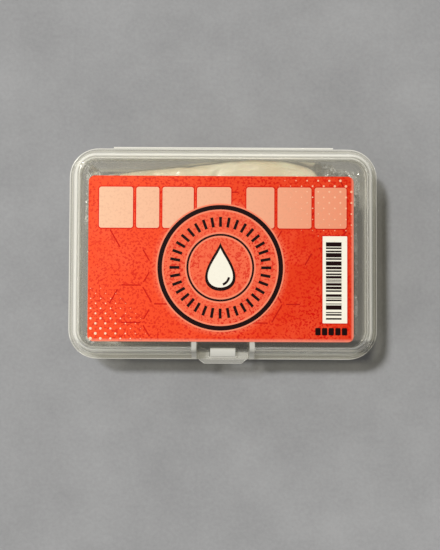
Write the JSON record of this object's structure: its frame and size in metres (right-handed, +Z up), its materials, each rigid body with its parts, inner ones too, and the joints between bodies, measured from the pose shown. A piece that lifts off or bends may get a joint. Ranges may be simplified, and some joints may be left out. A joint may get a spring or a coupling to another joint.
{
  "type": "detailing clay bar in a case",
  "caption": "Cream detailing clay bar wrapped in clear film, in a hinged translucent plastic case with a snap latch tab and a red label on its lid.",
  "frame": {"origin": "middle of the surface that the closed case stands on", "axes": "+X along the case's length, +Y from the latch towards the hinge, +Z up"},
  "size_m": [0.095, 0.0669, 0.0223],
  "materials": {
    "pp_clear": "gloss",
    "label": "satin",
    "clay": "satin",
    "film": "gloss"
  },
  "bodies": {
    "base": {"case_base": "pp_clear", "hinge_web": "pp_clear"},
    "lid": {"case_lid": "pp_clear", "lid_label": "label"},
    "latch": {"latch_tab": "pp_clear"},
    "bar": {"clay_bar": "clay", "film_wrap": "film"}
  },
  "joints": [
    {"name": "lid_hinge", "type": "hinge", "parent": "base", "child": "lid", "pos_m": [0, 0.03325, 0.01405], "axis": [-1, 0, 0], "range_deg": [0, 180], "deforming": ["hinge_web"]},
    {"name": "latch_flex", "type": "hinge", "parent": "lid", "child": "latch", "pos_m": [0, -0.0281, 0.0148], "axis": [-1, 0, 0], "range_deg": [0, 10], "stiffness_Nm_per_rad": 0.02},
    {"name": "bar_lift", "type": "slide", "parent": "base", "child": "bar", "axis": [0, 0, 1], "range_m": [0, 0.0016]}
  ]
}
